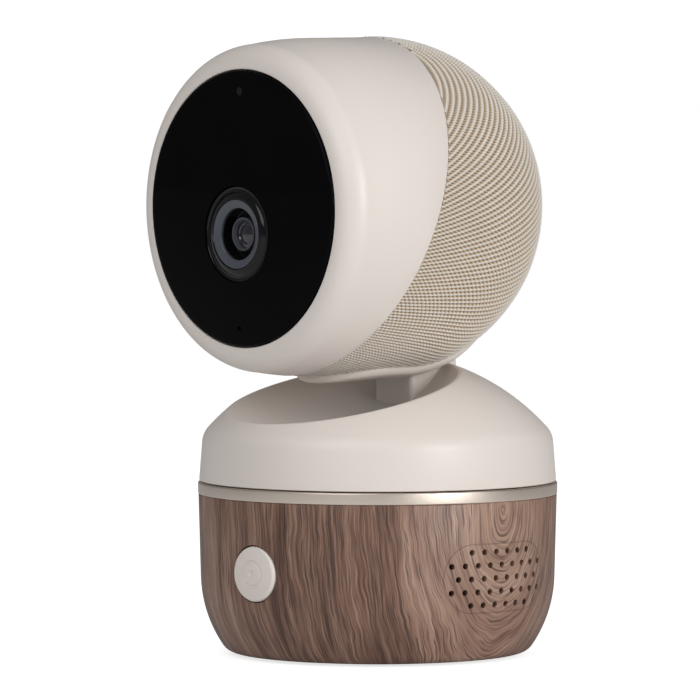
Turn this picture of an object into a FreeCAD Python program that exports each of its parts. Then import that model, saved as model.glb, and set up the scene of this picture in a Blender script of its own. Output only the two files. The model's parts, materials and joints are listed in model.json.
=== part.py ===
import FreeCAD, Part
import math
import os

import Sketcher

# A small pan and tilt room camera. The origin is on the pan axis, at the height of the surface
# that it stands on. +Z is up and the lens looks along -Y.

DIMENSIONS = {
    # base
    "base_turn": 4.8, "base_top_radius": 43.9, "base_top": 39.4, "base_mid_radius": 43.35,
    "base_mid": 19.0, "base_side_curve": 31.0, "base_heel_radius": 38.0, "base_heel": 2.4,
    "base_heel_curve": 4.1, "base_flat_radius": 34.6, "base_under": 0.6, "wall": 2.2,
    "ledge_radius": 30.0, "ledge_low": 2.6, "ledge_high": 4.0, "plate_radius": 31.8,
    "plate_under": 0.8, "foot_outer": 29.0, "ring_radius": 44.0,
    "ring_top": 42.3, "ring_inner": 36.2, "ballast_top": 9.2, "ballast_inner": 12.0,
    "ballast_outer": 33.0, "board_low": 12.0, "board_thick": 1.6, "board_radius": 37.0,
    "post_circle": 29.0, "plate_screw_circle": 16.0, "deck_low": 36.6, "deck_radius": 41.4,
    "deck_screw_circle": 38.8, "boss_radius": 3.0, "boss_low": 30.5,
    # button
    "button_height": 22.0, "button_radius": 6.7, "button_gap": 0.3, "button_travel": 0.6,
    # loudspeaker
    "grille_turn": 86.5, "grille_height": 21.2, "grille_hole": 0.75, "grille_pitch": 3.68,
    "grille_row": 3.19, "speaker_half_width": 16.0, "speaker_half_height": 7.3,
    "speaker_face": 36.0,
    # pan drive
    "gear_module": 0.8, "pan_gear_teeth": 48.0, "pan_pinion_teeth": 16.0, "pan_gear_low": 40.2,
    "turntable_low": 43.0, "turntable_high": 45.0, "turntable_radius": 41.0, "hub_radius": 9.0,
    "hub_low": 35.0, "running_gap": 0.06, "table_screw_circle": 38.8,
    # dome with its dish
    "dome_low": 42.6, "dome_low_radius": 43.7, "dome_shoulder": 52.0, "dome_shoulder_radius": 43.0,
    "shoulder_curve": 6.0, "dome_curve": 56.0, "dome_curve_height": 18.0, "dome_seam_radius": 41.2,
    "dish_radius": 47.2, "dish_ahead": 19.95, "dish_height": 101.3, "rim_round": 1.1,
    # stem
    "stem_half_width": 6.9, "stem_front": 4.7, "stem_back": 20.4, "stem_corner": 1.3,
    "stem_low": 60.0, "stem_high": 80.0, "arm_half_width": 5.5, "arm_hub_radius": 7.5,
    "axle_radius": 2.0, "axle_half_length": 19.5,
    # head
    "tilt_ahead": 1.6, "tilt_height": 109.7, "head_radius": 41.2, "drum_mid": 20.0,
    "drum_mid_radius": 41.0, "drum_front": 36.2, "drum_front_radius": 39.6, "drum_curve": 95.0,
    "bezel_round": 6.0, "glass_radius": 33.2, "glass_front": 44.4, "glass_curve": 333.0,
    "glass_back": 39.9, "inner_radius": 38.0, "rear_radius": 40.2, "cover_gap": 0.05,
    "seam_ahead": 15.15, "seam_lean": 18.6, "seam_gap": 0.3, "lip_radius": 43.0,
    "lip_half_width": 14.0, "slot_half_width": 8.0, "slot_front": 8.9, "slot_rear": 66.9,
    # lens
    "lens_drop": 6.1, "surround_radius": 11.5, "cone_outer": 8.3, "cone_inner": 6.25,
    "barrel_radius": 4.0, "barrel_inner": 3.35, "led_circle": 22.0, "status_height": 28.1,
    "microphone_depth": 28.7,
    # tilt drive
    "tilt_module": 0.6, "tilt_gear_teeth": 36.0, "tilt_pinion_teeth": 12.0, "cheek_inner": 16.0,
    "cheek_thick": 2.0, "plate_back": 20.0, "bush_radius": 3.5,
}

doc = FreeCAD.newDocument("room_camera")
sheet = doc.addObject("Spreadsheet::Sheet", "Sizes")
for row, (alias, number) in enumerate(DIMENSIONS.items(), start=1):
    sheet.set(f"A{row}", alias)
    sheet.set(f"B{row}", str(number))
    sheet.setAlias(f"B{row}", alias)
doc.recompute()


class Size:
    """A number together with the spreadsheet expression that gives it."""

    def __init__(self, value, text):
        self.value = value
        self.text = text

    @staticmethod
    def of(thing):
        return thing if isinstance(thing, Size) else Size(float(thing), repr(float(thing)))

    def joined(self, other, sign, value):
        return Size(value, f"({self.text} {sign} {Size.of(other).text})")

    def __add__(self, other):
        return self.joined(other, "+", self.value + Size.of(other).value)

    def __sub__(self, other):
        return self.joined(other, "-", self.value - Size.of(other).value)

    def __mul__(self, other):
        return self.joined(other, "*", self.value * Size.of(other).value)

    def __truediv__(self, other):
        return self.joined(other, "/", self.value / Size.of(other).value)

    def __rsub__(self, other):
        return Size.of(other) - self

    def __rmul__(self, other):
        return self * other

    def __neg__(self):
        return self * -1


def size(alias):
    return Size(DIMENSIONS[alias], f"Sizes.{alias}")


def sine(angle):
    angle = Size.of(angle)
    return Size(math.sin(math.radians(angle.value)), f"sin({angle.text})")


def cosine(angle):
    angle = Size.of(angle)
    return Size(math.cos(math.radians(angle.value)), f"cos({angle.text})")


def bind(item, place, amount):
    item.setExpression(place, Size.of(amount).text)


# Where a group of pieces stands: offset along X, Y and Z, then a turn about Z.
FRAMES = {
    "floor": (0, 0, 0, 0),
    "base": (0, 0, 0, size("base_turn")),
    "button": (0, 0, size("button_height"), size("base_turn")),
    "grille": (0, 0, size("grille_height"), size("base_turn") + size("grille_turn")),
    "head": (0, -size("tilt_ahead"), size("tilt_height"), 0),
    "lens": (0, -size("tilt_ahead"), size("tilt_height") - size("lens_drop"), 0),
}
pieces = []


def stand(item, frame="floor", offset=(0, 0, 0)):
    """Places an item in one of the frames, moved by an offset along the frame's own axes."""
    along_x, along_y, along_z, turn = FRAMES[frame]
    turn = Size.of(turn)
    shift_x = Size.of(offset[0]) * cosine(turn) - Size.of(offset[1]) * sine(turn)
    shift_y = Size.of(offset[0]) * sine(turn) + Size.of(offset[1]) * cosine(turn)
    item.Placement = FreeCAD.Placement(
        FreeCAD.Vector(), FreeCAD.Rotation(FreeCAD.Vector(0, 0, 1), 1 if turn.value else 0))
    bind(item, ".Placement.Base.x", shift_x + along_x)
    bind(item, ".Placement.Base.y", shift_y + along_y)
    bind(item, ".Placement.Base.z", Size.of(offset[2]) + along_z)
    if turn.value:
        bind(item, ".Placement.Rotation.Angle", turn)
    return item


def keep(item, name, frame="floor"):
    """Makes an item one of the camera's pieces. A lone primitive keeps its own spot in a group."""
    if item.TypeId in ("Part::Box", "Part::Cylinder"):
        item.Label = name + "_solid"
        item = grouped(name, [item])
    item.Label = name
    pieces.append(stand(item, frame))
    return item


def origin_feature(body, role):
    return next(feature for feature in body.Origin.OriginFeatures if feature.Role == role)


def arc_between(start, end, radius):
    """The short arc from start to end: its centre is on the left of the way for a positive radius."""
    chord = end - start
    across = FreeCAD.Vector(-chord.y, chord.x, 0).normalize()
    reach = math.sqrt(max(radius ** 2 - chord.Length ** 2 / 4, 0))
    centre = (start + end) / 2 + across * math.copysign(reach, radius)
    first, last = (start, end) if radius > 0 else (end, start)
    angles = [math.atan2(tip.y - centre.y, tip.x - centre.x) for tip in (first, last)]
    circle = Part.Circle(centre, FreeCAD.Vector(0, 0, 1), abs(radius))
    return Part.ArcOfCircle(circle, angles[0], angles[1])


def draw_outline(sketch, corners):
    """A closed outline. A corner is (across, up), or (across, up, radius) where an arc arrives."""
    spots = [FreeCAD.Vector(Size.of(c[0]).value, Size.of(c[1]).value, 0) for c in corners]
    ends = []
    for index, corner in enumerate(corners):
        start, end = spots[index - 1], spots[index]
        if len(corner) == 3:
            radius = Size.of(corner[2])
            edge = sketch.addGeometry(arc_between(start, end, radius.value), False)
            ends.append((1, 2) if radius.value > 0 else (2, 1))
            rule = sketch.addConstraint(Sketcher.Constraint("Radius", edge, abs(radius.value)))
            bind(sketch, f"Constraints[{rule}]", radius if radius.value > 0 else -radius)
        else:
            sketch.addGeometry(Part.LineSegment(start, end), False)
            ends.append((1, 2))
    for index, corner in enumerate(corners):
        following = (index + 1) % len(corners)
        tip = ends[index][1]
        sketch.addConstraint(
            Sketcher.Constraint("Coincident", index, tip, following, ends[following][0]))
        for axis, kind, amount in ((-2, "DistanceX", corner[0]), (-1, "DistanceY", corner[1])):
            amount = Size.of(amount)
            if amount.value == 0:
                sketch.addConstraint(Sketcher.Constraint("PointOnObject", index, tip, axis))
            else:
                rule = sketch.addConstraint(
                    Sketcher.Constraint(kind, -1, 1, index, tip, amount.value))
                bind(sketch, f"Constraints[{rule}]", amount)


def sketched(name, plane, corners, lift=0):
    """A body with one closed sketch on one of its own origin planes."""
    body = doc.addObject("PartDesign::Body", name)
    body.AllowCompound = True
    sketch = body.newObject("Sketcher::SketchObject", name + "_outline")
    sketch.AttachmentSupport = [(origin_feature(body, plane), "")]
    sketch.MapMode = "FlatFace"
    bind(sketch, ".AttachmentOffset.Base.z", lift)
    draw_outline(sketch, corners)
    return body, sketch


def revolve(body, sketch):
    turn = body.newObject("PartDesign::Revolution", sketch.Name + "_turn")
    turn.Profile = sketch
    turn.ReferenceAxis = (sketch, ["V_Axis"])
    turn.Angle = 360
    body.Tip = turn
    return turn


def turned(name, corners, axis="Z"):
    """A round solid about Z, or about the lens axis Y, from corners (radius, place on the axis)."""
    body, sketch = sketched(name, "XZ_Plane" if axis == "Z" else "XY_Plane", corners)
    revolve(body, sketch)
    return body


def extruded(name, plane, corners, low, high):
    """A straight solid on a plane's own normal, from low to high."""
    body, sketch = sketched(name, plane, corners, low)
    pad = body.newObject("PartDesign::Pad", name + "_pad")
    pad.Profile = sketch
    bind(pad, "Length", Size.of(high) - low)
    body.Tip = pad
    return body


def ring(name, inner, outer, low, high, axis="Z"):
    """A flat ring, or a disc where the inner radius is 0."""
    return turned(name, [(inner, low), (outer, low), (outer, high), (inner, high)], axis)


def block(name, x_span, y_span, z_span):
    box = doc.addObject("Part::Box", name)
    for side, span in (("Length", x_span), ("Width", y_span), ("Height", z_span)):
        bind(box, side, Size.of(span[1]) - span[0])
    for axis, span in zip("xyz", (x_span, y_span, z_span)):
        bind(box, f".Placement.Base.{axis}", span[0])
    return box


def rod(name, radius, spot, length, axis="Z"):
    """A cylinder from a spot, along +X, -Y or +Z."""
    round_bar = doc.addObject("Part::Cylinder", name)
    aims = {"X": (FreeCAD.Vector(0, 1, 0), 90), "Y": (FreeCAD.Vector(1, 0, 0), 90),
            "Z": (FreeCAD.Vector(0, 0, 1), 0)}
    round_bar.Placement = FreeCAD.Placement(FreeCAD.Vector(), FreeCAD.Rotation(*aims[axis]))
    bind(round_bar, "Radius", radius)
    bind(round_bar, "Height", length)
    for letter, amount in zip("xyz", spot):
        bind(round_bar, f".Placement.Base.{letter}", amount)
    return round_bar


def ball(name, radius, spot):
    sphere = doc.addObject("Part::Sphere", name)
    bind(sphere, "Radius", radius)
    for letter, amount in zip("xyz", spot):
        bind(sphere, f".Placement.Base.{letter}", amount)
    return sphere


def joined(name, parts):
    union = doc.addObject("Part::MultiFuse", name)
    union.Shapes = parts
    return union


def shared(name, parts):
    common = doc.addObject("Part::MultiCommon", name)
    common.Shapes = parts
    return common


def grouped(name, parts):
    group = doc.addObject("Part::Compound", name)
    group.Links = parts
    return group


def cut(name, solid, tools):
    """A solid with one or more tools taken away from it."""
    taken = doc.addObject("Part::Cut", name)
    taken.Base = solid
    taken.Tool = tools[0] if len(tools) == 1 else joined(name + "_tools", tools)
    return taken


def round_spots(circle, count, first_angle):
    """Places around a circle, as pairs of sizes."""
    angles = [first_angle + 360.0 * index / count for index in range(count)]
    return [(Size.of(circle) * cosine(angle), Size.of(circle) * sine(angle)) for angle in angles]


def screws(name, circle, count, first_angle, head_low, head_high, tip, head_radius=2.2,
           shank_radius=1.1, axis="Z"):
    """A ring of like screws, each with a plain driver socket in its head."""
    head_low, head_high, tip = (Size.of(place) for place in (head_low, head_high, tip))
    up = tip.value > head_high.value
    under, face = (head_high, head_low) if up else (head_low, head_high)
    socket_floor = (under + face) / 2
    corners = [(0, tip), (shank_radius, tip), (shank_radius, under), (head_radius, under),
               (head_radius, face), (head_radius / 2, face), (head_radius / 2, socket_floor),
               (0, socket_floor)]
    singles = []
    for index, (across, along) in enumerate(round_spots(circle, count, first_angle)):
        single = turned(f"{name}_{index + 1}", corners, axis)
        spot = (across, along, 0) if axis == "Z" else (across, 0, along)
        singles.append(stand(single, offset=spot))
    return grouped(name, singles)


def rods(name, radius, spots, low, length, axis="Z"):
    """Like cylinders at several places."""
    bars = []
    for index, (across, along) in enumerate(spots):
        spot = (across, along, low) if axis == "Z" else (across, low, along)
        bars.append(rod(f"{name}_{index + 1}", radius, spot, length, axis))
    return bars


def toothed_face(teeth, module, phase):
    """A spur gear's outline: slim teeth with three points to a flank, so that they run free."""
    pitch_radius = teeth * module / 2
    half_widths = {-1.15: 0.34, 0.0: 0.215, 0.85: 0.12}
    outline = []
    for tooth in range(int(teeth)):
        middle = phase + tooth
        levels = sorted(half_widths)
        rising = [(level, middle - half_widths[level]) for level in levels]
        falling = [(level, middle + half_widths[level]) for level in reversed(levels)]
        for level, place in rising + falling:
            angle = 2 * math.pi * place / teeth
            radius = pitch_radius + level * module
            outline.append(FreeCAD.Vector(radius * math.cos(angle), radius * math.sin(angle), 0))
    return Part.Face(Part.makePolygon(outline + outline[:1]))


def gear_shape(teeth, module, width, bore, phase=0.0):
    """A spur gear from z = 0 up, with its bore. The phase is in teeth."""
    wheel = toothed_face(teeth, module, phase).extrude(FreeCAD.Vector(0, 0, width))
    if bore:
        wheel = wheel.cut(Part.makeCylinder(bore, width))
    return wheel


def shaped(name, shape, placement):
    """A piece whose shape is computed from the sheet's values."""
    feature = doc.addObject("Part::Feature", name)
    feature.Shape = shape
    feature.Placement = placement
    pieces.append(feature)
    return feature


# ---------------------------------------------------------------------------------------- base
wall = size("wall")
base_under = size("base_under")
plate_under = size("plate_under")
ledge_low = size("ledge_low")


def grille_drills():
    """Five rows of radial holes in a rounded field: 6, 9, 8, 9 and 6 holes."""
    hole = DIMENSIONS["grille_hole"]
    step = math.degrees(DIMENSIONS["grille_pitch"] / DIMENSIONS["base_top_radius"])
    drills = []
    for row_index, count in enumerate((6, 9, 8, 9, 6)):
        height = (2 - row_index) * DIMENSIONS["grille_row"]
        for index in range(count):
            drill = Part.makeCylinder(hole, 10, FreeCAD.Vector(0, -37, height),
                                      FreeCAD.Vector(0, -1, 0))
            drill.rotate(FreeCAD.Vector(), FreeCAD.Vector(0, 0, 1),
                         (index - (count - 1) / 2) * step)
            drills.append(drill)
    field = Part.makeCompound(drills)
    field.rotate(FreeCAD.Vector(), FreeCAD.Vector(0, 0, 1), DIMENSIONS["grille_turn"])
    field.translate(FreeCAD.Vector(0, 0, DIMENSIONS["grille_height"]))
    feature = doc.addObject("Part::Feature", "grille_drills")
    feature.Shape = field
    return feature


def make_base_shell():
    """The cup, open at the top and below, with four bosses for the deck's screws."""
    cup = turned("base_cup", [
        (size("base_flat_radius"), base_under),
        (size("base_heel_radius"), size("base_heel"), size("base_heel_curve")),
        (size("base_mid_radius"), size("base_mid"), size("base_side_curve")),
        (size("base_top_radius"), size("base_top")),
        (size("base_top_radius") - wall, size("base_top")),
        (size("base_mid_radius") - wall, size("base_mid")),
        (size("base_heel_radius") - wall * 0.7, size("ledge_high"), -size("base_side_curve")),
        (size("ledge_radius"), size("ledge_high")),
        (size("ledge_radius"), ledge_low),
        (size("plate_radius") + 0.2, ledge_low),
        (size("plate_radius") + 0.2, base_under),
    ])
    spots = round_spots(size("deck_screw_circle"), 4, 50)
    bosses = rods("deck_boss", size("boss_radius"), spots, size("boss_low"),
                  size("deck_low") - size("boss_low"))
    outside = ring("base_outside", 0, size("base_mid_radius") - wall / 2, 0, size("base_top"))
    trimmed = shared("deck_bosses", [joined("deck_boss_set", bosses), outside])
    threads = rods("deck_thread", 1.15, spots, size("boss_low") + 1, 8)
    button_hole = rod("button_hole", size("button_radius") + size("button_gap"),
                      (0, -36, size("button_height")), 12, "Y")
    port_half_width = 4.8
    port_middle = size("board_low") + size("board_thick") + 1.6
    port = block("port_hole", (-port_half_width, port_half_width), (38, 46),
                 (port_middle - 1.9, port_middle + 1.9))
    keep(cut("base_shell", joined("base_walls", [cup, trimmed]),
             threads + [button_hole, port, grille_drills()]), "base_shell", "base")


def make_base_frame():
    """What closes the cup and stands in it: plate, foot, ballast, board, deck and their screws."""
    ring_low = size("base_top")
    keep(turned("trim_ring", [
        (size("ring_inner"), ring_low), (size("ring_radius") - 0.25, ring_low),
        (size("ring_radius"), ring_low + 0.25), (size("ring_radius"), size("ring_top") - 0.3),
        (size("ring_radius") - 0.3, size("ring_top")), (size("ring_inner"), size("ring_top")),
    ]), "trim_ring")
    plate_spots = round_spots(size("plate_screw_circle"), 3, 90)
    plate = ring("plate_disc", 0, size("plate_radius"), plate_under, ledge_low)
    counterbores = rods("plate_counterbore", 2.3, plate_spots, 0, plate_under + 1.0)
    through = rods("plate_through", 1.15, plate_spots, 0, 5)
    keep(cut("base_plate", plate, counterbores + through), "base_plate", "base")
    keep(ring("foot_pad", 0, size("foot_outer"), 0, plate_under), "foot_pad")
    ballast = ring("ballast_ring", size("ballast_inner"), size("ballast_outer"),
                   size("ledge_high") + 0.05, size("ballast_top"))
    tapped = rods("ballast_tapping", 1.15, plate_spots, 3, 8)
    post_spots = round_spots(size("post_circle"), 4, 45)
    keep(cut("ballast", ballast, tapped), "ballast", "base")
    keep(screws("base_screws", size("plate_screw_circle"), 3, 90, plate_under + 0.1,
                1.8, 8.6), "base_screws", "base")
    posts = rods("board_post", 2.4, post_spots, size("ballast_top"),
                 size("board_low") - size("ballast_top"))
    post_bores = rods("board_post_bore", 0.95, post_spots, size("ballast_top"), 6)
    keep(cut("board_posts", joined("board_post_set", posts), post_bores), "board_posts", "base")
    board_top = size("board_low") + size("board_thick")
    board = ring("board_disc", 0, size("board_radius"), size("board_low"), board_top)
    board_holes = rods("board_hole", 0.95, post_spots, size("board_low") - 1, 5)
    keep(cut("main_board", board, board_holes), "main_board", "base")
    keep(screws("board_screws", size("post_circle"), 4, 45, board_top + 0.05, board_top + 1.2,
                size("ballast_top") + 0.8, 1.8, 0.9), "board_screws", "base")
    keep(block("processor_shield", (-9, 9), (-18, 0), (board_top, board_top + 2.4)),
         "processor_shield", "base")
    shell = block("socket_shell", (-4.5, 4.5), (33.0, 40.2), (board_top, board_top + 3.2))
    mouth = block("socket_mouth", (-4.1, 4.1), (34.2, 41.0), (board_top + 0.4, board_top + 2.8))
    tongue = block("socket_tongue", (-3.3, 3.3), (34.0, 39.4), (board_top + 1.3, board_top + 1.9))
    keep(joined("usb_socket", [cut("socket_can", shell, [mouth]), tongue]), "usb_socket", "base")
    deck_spots = round_spots(size("deck_screw_circle"), 4, 50)
    deck = ring("deck_disc", size("hub_radius") + size("running_gap"), size("deck_radius"),
                size("deck_low"), size("base_top"))
    sinks = rods("deck_sink", 2.3, deck_spots, size("base_top") - 1.6, 3)
    holes = rods("deck_hole", 1.15, deck_spots, size("deck_low") - 1, 5)
    shaft_hole = rod("deck_shaft_hole", 3, (-pan_centre_distance(), 0, 30), 12)
    keep(cut("deck", deck, sinks + holes + [shaft_hole]), "deck", "base")
    keep(screws("deck_screws", size("deck_screw_circle"), 4, 50, size("base_top") - 1.6,
                size("base_top") - 0.1, size("boss_low") + 1.5), "deck_screws", "base")
    keep(ring("slide_ring", 33.9, 35.8, size("base_top"),
              size("turntable_low") - size("running_gap")), "slide_ring")


def make_button():
    """A round push button, its retaining flange behind the wall, and the switch that it presses."""
    radius = size("button_radius")
    keep(turned("button_cap", [
        (0, -44.2, -41.6), (0, -39.1), (1.5, -39.1), (1.5, -39.8), (7.8, -39.8), (7.8, -40.2),
        (radius, -40.2), (radius, -43.0), (radius - 0.6, -43.75, -0.7),
    ], "Y"), "button_cap", "button")
    switch = joined("switch_parts", [
        block("switch_body", (-3, 3), (-38.0, -35.5), (-3, 3)),
        rod("switch_plunger", 1.6, (0, -38.0, 0), 0.4, "Y")])
    keep(switch, "button_switch", "button")
    board_top = size("board_low") + size("board_thick")
    keep(block("button_board", (-7, 7), (-35.5, -34.3), (board_top - size("button_height"), 7)),
         "button_board", "button")


def racetrack(name, half_width, half_height, near, far):
    """A block with half-round ends across the loudspeaker, between two depths from the pan axis."""
    flat = Size.of(half_width) - half_height
    bar = block(name + "_bar", (-flat, flat), (-Size.of(far), -Size.of(near)),
                (-Size.of(half_height), half_height))
    ends = [rod(f"{name}_end_{side}", half_height, (flat * side, -Size.of(near), 0),
                Size.of(far) - near, "Y") for side in (-1, 1)]
    return joined(name, [bar] + ends)


def make_speaker():
    """A racetrack loudspeaker behind the grille: mesh, gasket, frame, cone and magnet."""
    half_width = size("speaker_half_width")
    half_height = size("speaker_half_height")
    face = size("speaker_face")
    curve = 39.7
    mesh_band = ring("mesh_band", curve, curve + 0.4, -9, 9)
    keep(shared("grille_mesh", [mesh_band, block("mesh_window", (-18, 18), (-45, -20), (-8, 8))]),
         "grille_mesh", "grille")
    gasket_body = cut("gasket_body", racetrack("gasket_outer", half_width, half_height, face, 42),
                      [racetrack("gasket_inner", half_width - 2, half_height - 2, face - 1, 43)])
    gasket_limit = ring("gasket_limit", 0, curve - 0.05, -9, 9)
    keep(shared("speaker_gasket", [gasket_body, gasket_limit]), "speaker_gasket", "grille")
    keep(cut("speaker_frame", racetrack("frame_outer", half_width, half_height, 30, face), [
        racetrack("frame_pocket", half_width - 1.6, half_height - 1.6, 31.2, face + 1),
        rod("frame_magnet_hole", 4, (0, -28, 0), 5, "Y")]), "speaker_frame", "grille")
    cone = joined("cone_parts", [
        racetrack("cone_surround", half_width - 1.7, half_height - 1.7, 34.9, 35.5),
        rod("cone_coil", 3.6, (0, -31.0, 0), 4.4, "Y"),
        ball("cone_cap", 4.4, (0, -34.1, 0))])
    keep(shared("speaker_cone", [cone, block("cone_window", (-17, 17), (-38, -31.3), (-8, 8))]),
         "speaker_cone", "grille")
    keep(rod("speaker_magnet", 6.2, (0, -24.5, 0), 5.5, "Y"), "speaker_magnet", "grille")


# --------------------------------------------------------------------------------------- turret
def pan_centre_distance():
    return (size("pan_gear_teeth") + size("pan_pinion_teeth")) * size("gear_module") / 2


def make_pan_drive():
    """A motor under the deck turns the turntable through a pinion and a gear ring."""
    away = pan_centre_distance()
    motor = rod("pan_motor_can", 10, (-away, 0, 21.5), size("deck_low") - 21.5)
    bore = rod("pan_motor_bore", 1.3, (-away, 0, 32.5), 6)
    keep(cut("pan_motor", motor, [bore]), "pan_motor", "base")
    width = DIMENSIONS["turntable_low"] - DIMENSIONS["pan_gear_low"]
    module = DIMENSIONS["gear_module"]
    teeth = int(DIMENSIONS["pan_pinion_teeth"])
    turn = math.radians(180 + DIMENSIONS["base_turn"])
    centre = FreeCAD.Vector(away.value * math.cos(turn), away.value * math.sin(turn),
                            DIMENSIONS["pan_gear_low"])
    pinion = gear_shape(teeth, module, width - 0.35, 0)
    shaft = Part.makeCylinder(1.2, 6.6, FreeCAD.Vector(0, 0, -6.6))
    # The gear ring has a tooth on the line of centres when its phase is 0, so the pinion has a gap.
    facing = math.degrees(turn) + 180
    shaped("pan_pinion", pinion.fuse(shaft), FreeCAD.Placement(
        centre, FreeCAD.Rotation(FreeCAD.Vector(0, 0, 1), facing + 180.0 / teeth)))
    ring_teeth = int(DIMENSIONS["pan_gear_teeth"])
    shaped("pan_gear", gear_shape(ring_teeth, module, width, 14.0), FreeCAD.Placement(
        FreeCAD.Vector(0, 0, DIMENSIONS["pan_gear_low"]),
        FreeCAD.Rotation(FreeCAD.Vector(0, 0, 1), math.degrees(turn))))


def make_turntable():
    """The disc that carries the dome, its hub through the deck, and the clip that holds it down."""
    low = size("turntable_low")
    high = size("turntable_high")
    hub_low = size("hub_low")
    spots = round_spots(size("table_screw_circle"), 4, 35)
    disc = turned("turntable_body", [
        (4.5, hub_low), (size("hub_radius"), hub_low), (size("hub_radius"), low),
        (size("turntable_radius"), low), (size("turntable_radius"), high), (4.5, high)])
    holes = rods("turntable_hole", 1.15, spots, low - 1, 5)
    sinks = rods("turntable_sink", 2.3, spots, low - 1, 2.2)
    keep(cut("turntable", disc, holes + sinks), "turntable")
    keep(screws("turntable_screws", size("table_screw_circle"), 4, 35, low + 0.1, low + 1.2,
                50.0), "turntable_screws")
    keep(ring("pan_retainer", size("hub_radius"), 12.5, hub_low + 0.1, size("deck_low") - 0.15),
         "pan_retainer")


def stem_block(name, grow, low, high):
    """The stem's rounded rectangular section as a straight solid, grown all round."""
    corner = size("stem_corner") + grow
    half = size("stem_half_width") + grow
    front = size("stem_front") - grow
    back = size("stem_back") + grow
    return extruded(name, "XY_Plane", [
        (half - corner, front), (half, front + corner, corner),
        (half, back - corner), (half - corner, back, corner),
        (-half + corner, back), (-half, back - corner, corner),
        (-half, front + corner), (-half + corner, front, corner),
    ], low, high)


def dome_solid(name, inset, low):
    """The dome as a full solid: near-straight side, rounded shoulder and a spherical top."""
    seam = size("dome_seam_radius")
    curve = size("dome_curve")
    seam_share = seam / curve
    seam_height = DIMENSIONS["dome_curve_height"] + math.sqrt(
        DIMENSIONS["dome_curve"] ** 2 - DIMENSIONS["dome_seam_radius"] ** 2)
    drop = (seam_height - DIMENSIONS["dome_curve_height"]) / DIMENSIONS["dome_curve"]
    return turned(name, [
        (0, low), (size("dome_low_radius") - inset, low),
        (size("dome_shoulder_radius") - inset, size("dome_shoulder") - Size.of(inset) * 0.4),
        (seam - Size.of(inset) * seam_share, seam_height - Size.of(inset) * drop,
         size("shoulder_curve") - Size.of(inset) * 0.4),
        (0, size("dome_curve_height") + curve - inset, curve - inset),
    ])


def make_dome():
    """A thin dome with a spherical dish in its top, open below, and a hole for the stem."""
    dish_spot = (0, -size("dish_ahead"), size("dish_height"))
    outer = dome_solid("dome_outer", 0, size("dome_low"))
    inner = dome_solid("dome_inner", wall, size("dome_low") - 1)
    hollow = cut("dome_hollow", inner, [ball("dish_under", size("dish_radius") + wall, dish_spot)])
    skin = cut("dome_skin", outer, [ball("dish", size("dish_radius"), dish_spot), hollow])
    spots = round_spots(size("table_screw_circle"), 4, 35)
    bosses = rods("dome_boss", 2.8, spots, size("turntable_high"), 7)
    limit = ring("dome_boss_limit", 0, size("dome_low_radius") - wall * 0.7,
                 size("turntable_high"), 60)
    boss_set = shared("dome_bosses", [joined("dome_boss_set", bosses), limit])
    threads = rods("dome_thread", 1.15, spots, size("turntable_high") - 1, 6.5)
    whole = cut("dome_whole", joined("dome_walls", [skin, boss_set]),
                threads + [stem_block("stem_hole", 0.08, 50, 76)])
    doc.recompute()
    rim = [index for index, edge in enumerate(whole.Shape.Edges, start=1) if is_rim(edge)]
    rounded = doc.addObject("Part::Fillet", "dome_shell")
    rounded.Base = whole
    rounded.Edges = [(index, DIMENSIONS["rim_round"], DIMENSIONS["rim_round"]) for index in rim]
    keep(rounded, "dome_shell")


def is_rim(edge):
    """Whether an edge lies on both the dome's outer sphere and the dish's sphere."""
    top = FreeCAD.Vector(0, 0, DIMENSIONS["dome_curve_height"])
    dish = FreeCAD.Vector(0, -DIMENSIONS["dish_ahead"], DIMENSIONS["dish_height"])
    spot = edge.valueAt((edge.FirstParameter + edge.LastParameter) / 2)
    on_dome = abs(spot.distanceToPoint(top) - DIMENSIONS["dome_curve"]) < 0.01
    on_dish = abs(spot.distanceToPoint(dish) - DIMENSIONS["dish_radius"]) < 0.01
    return on_dome and on_dish


def make_stem():
    """The neck's shell, the arm inside it that carries the tilt axle, and what is on the axle."""
    arm_half = size("arm_half_width")
    tilt_spot = (-arm_half, -size("tilt_ahead"), size("tilt_height"))
    arm_slot = block("stem_slot", (-arm_half - 0.05, arm_half + 0.05), (8.4, 17.1), (50, 90))
    keep(cut("stem_shell", stem_block("stem_body", 0, size("stem_low"), size("stem_high")),
             [arm_slot]), "stem_shell")
    back_of_hub = -size("tilt_ahead") + size("arm_hub_radius") * 0.8
    strut = extruded("arm_strut", "YZ_Plane", [
        (8.5, size("turntable_high")), (17.0, size("turntable_high")),
        (17.0, 88.0), (back_of_hub, size("tilt_height") + 4), (-7, size("tilt_height") - 4.5),
        (8.5, 82.0)], -arm_half, arm_half)
    hub = rod("arm_hub", size("arm_hub_radius"), tilt_spot, arm_half * 2, "X")
    bore = rod("arm_bore", size("axle_radius"), (-10, tilt_spot[1], tilt_spot[2]), 20, "X")
    keep(cut("tilt_arm", joined("arm_solid", [strut, hub]), [bore]), "tilt_arm")
    half_length = size("axle_half_length")
    keep(rod("tilt_axle", size("axle_radius"), (-half_length, 0, 0), half_length * 2, "X"),
         "tilt_axle", "head")
    clip_start = size("cheek_inner") + size("cheek_thick") + 0.7
    keep(grouped("axle_clips", [
        tube("axle_clip_left", size("axle_radius"), 3.6, -clip_start - 0.6, -clip_start),
        tube("axle_clip_right", size("axle_radius"), 3.6, clip_start, clip_start + 0.6)]),
        "axle_clips", "head")
    bush_end = size("cheek_inner") - 0.6
    keep(grouped("axle_spacers", [
        tube("axle_spacer_left", size("axle_radius"), 3.1, -bush_end, -arm_half),
        tube("axle_spacer_right", size("axle_radius"), 3.1, arm_half + 3.5, bush_end)]),
        "axle_spacers", "head")


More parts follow.
